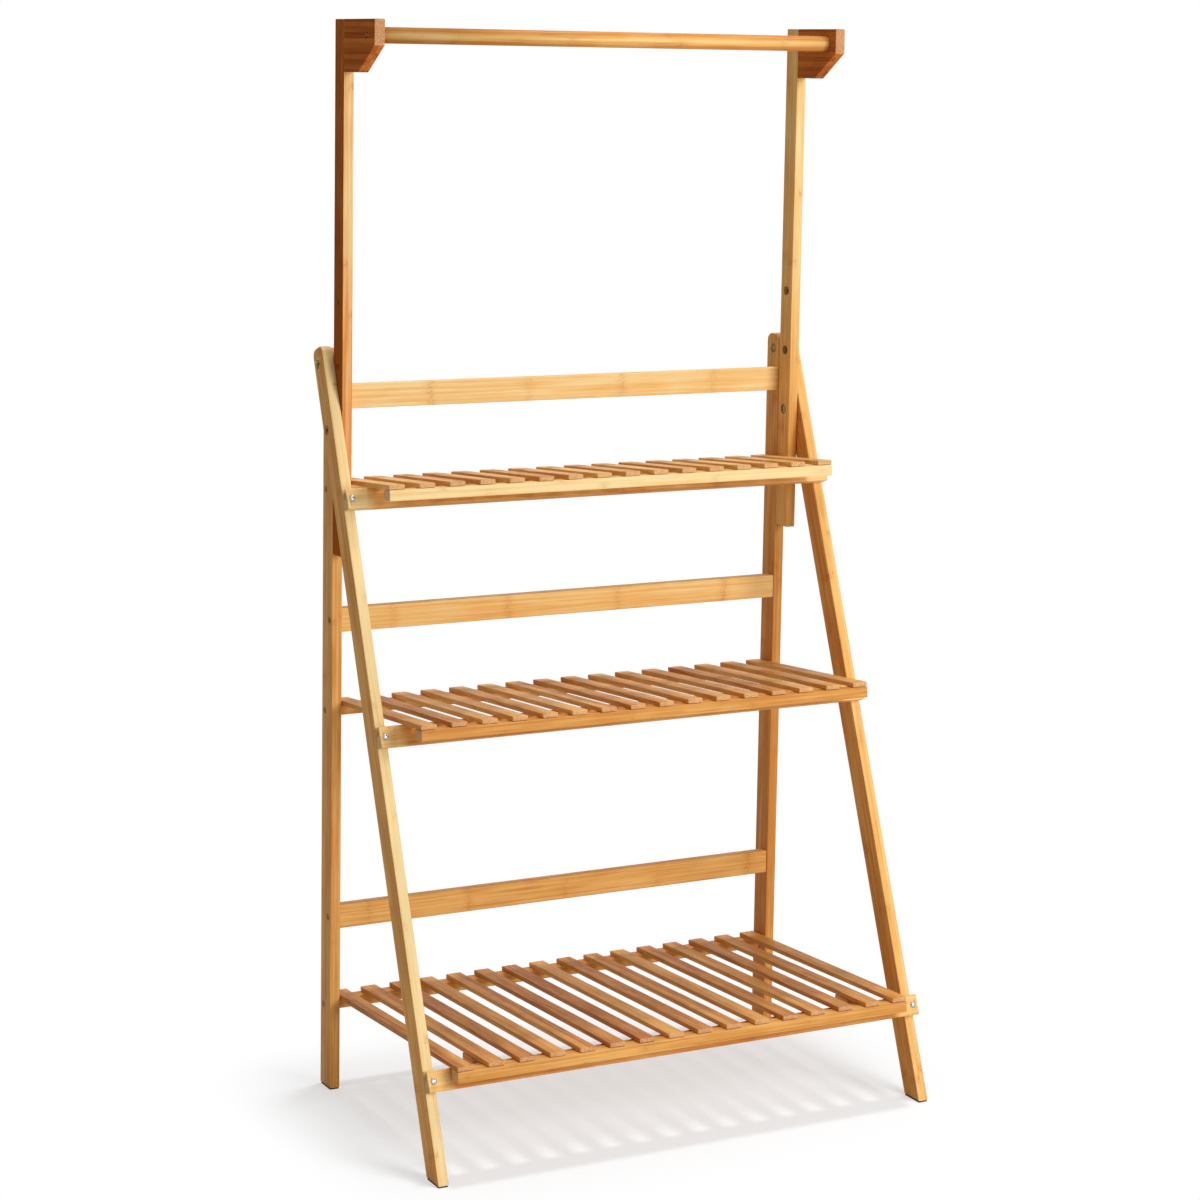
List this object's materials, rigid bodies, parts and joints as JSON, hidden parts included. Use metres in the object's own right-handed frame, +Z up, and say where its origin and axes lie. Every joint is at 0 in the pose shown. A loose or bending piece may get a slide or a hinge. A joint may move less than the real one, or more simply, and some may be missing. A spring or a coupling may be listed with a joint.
{
  "type": "plant ladder stand",
  "caption": "Folding ladder-style plant stand with slatted shelves on a leaning front frame and a round hanging rod on tall rear posts.",
  "frame": {"origin": "on the floor, under the middle of the stand's width and depth", "axes": "+X to the viewer's right, +Y to the back, +Z up; the hanging rod, rails and hinge axes run along X"},
  "size_m": [0.7, 0.402, 1.3816],
  "materials": {
    "bamboo": "satin varnish over laminated strips",
    "fasteners": "plated",
    "pads": "matte"
  },
  "bodies": {
    "rear_frame": {"rear_post_left": "bamboo", "foot_pad_rear_left": "pads", "pivot_bolt_left": "fasteners", "pivot_nut_left": "fasteners", "back_rail_screw_top_left": "fasteners", "back_rail_screw_middle_left": "fasteners", "back_rail_screw_bottom_left": "fasteners", "rear_post_right": "bamboo", "foot_pad_rear_right": "pads", "pivot_bolt_right": "fasteners", "pivot_nut_right": "fasteners", "back_rail_screw_top_right": "fasteners", "back_rail_screw_middle_right": "fasteners", "back_rail_screw_bottom_right": "fasteners", "back_rail_top": "bamboo", "back_rail_middle": "bamboo", "back_rail_bottom": "bamboo"},
    "front_frame": {"front_leg_left": "bamboo", "hanger_bolt_left": "fasteners", "front_rail_screw_top_left": "fasteners", "front_rail_screw_middle_left": "fasteners", "front_rail_screw_bottom_left": "fasteners", "front_leg_right": "bamboo", "hanger_bolt_right": "fasteners", "front_rail_screw_top_right": "fasteners", "front_rail_screw_middle_right": "fasteners", "front_rail_screw_bottom_right": "fasteners", "front_rail_top": "bamboo", "front_rail_middle": "bamboo", "front_rail_bottom": "bamboo", "foot_pad_front_left": "pads", "foot_pad_front_right": "pads"},
    "shelf_top": {"shelf_top": "bamboo", "shelf_lip_top": "bamboo", "shelf_pivot_screw_top_left": "fasteners", "shelf_pivot_screw_top_right": "fasteners"},
    "shelf_middle": {"shelf_middle": "bamboo", "shelf_lip_middle": "bamboo", "shelf_pivot_screw_middle_left": "fasteners", "shelf_pivot_screw_middle_right": "fasteners"},
    "shelf_bottom": {"shelf_bottom": "bamboo", "shelf_lip_bottom": "bamboo", "shelf_pivot_screw_bottom_left": "fasteners", "shelf_pivot_screw_bottom_right": "fasteners", "stop_block_left": "bamboo", "stop_block_right": "bamboo"},
    "hanger": {"hanger_post_left": "bamboo", "hanger_bracket_left": "bamboo", "hanger_nut_left": "fasteners", "rod_screw_left": "fasteners", "bracket_screw_left_upper": "fasteners", "bracket_screw_left_lower": "fasteners", "hanger_post_right": "bamboo", "hanger_bracket_right": "bamboo", "hanger_nut_right": "fasteners", "rod_screw_right": "fasteners", "bracket_screw_right_upper": "fasteners", "bracket_screw_right_lower": "fasteners", "hanging_rod": "bamboo"}
  },
  "joints": [
    {"name": "front_frame_fold", "type": "hinge", "parent": "rear_frame", "child": "front_frame", "pos_m": [0, 0.18398, 0.9494], "axis": [1, 0, 0], "range_deg": [0, 21]},
    {"name": "shelf_top_flip", "type": "hinge", "parent": "rear_frame", "child": "shelf_top", "pos_m": [0, 0.19048, 0.78818], "axis": [-1, 0, 0], "range_deg": [0, 65.2]},
    {"name": "shelf_middle_flip", "type": "hinge", "parent": "rear_frame", "child": "shelf_middle", "pos_m": [0, 0.19048, 0.50078], "axis": [-1, 0, 0], "range_deg": [0, 65.2]},
    {"name": "shelf_bottom_flip", "type": "hinge", "parent": "rear_frame", "child": "shelf_bottom", "pos_m": [0, 0.19048, 0.11037], "axis": [-1, 0, 0], "range_deg": [0, 65.2]},
    {"name": "hanger_lift", "type": "slide", "parent": "rear_frame", "child": "hanger", "axis": [0, 0, 1], "range_m": [0, 0.171]}
  ],
  "couplings": [
    {"joint": "shelf_top_flip", "follows": "front_frame_fold", "ratio": 3.1},
    {"joint": "shelf_middle_flip", "follows": "front_frame_fold", "ratio": 3.1},
    {"joint": "shelf_bottom_flip", "follows": "front_frame_fold", "ratio": 3.1},
    {"joint": "hanger_lift", "follows": "front_frame_fold", "m_per_rad": 0.464}
  ]
}
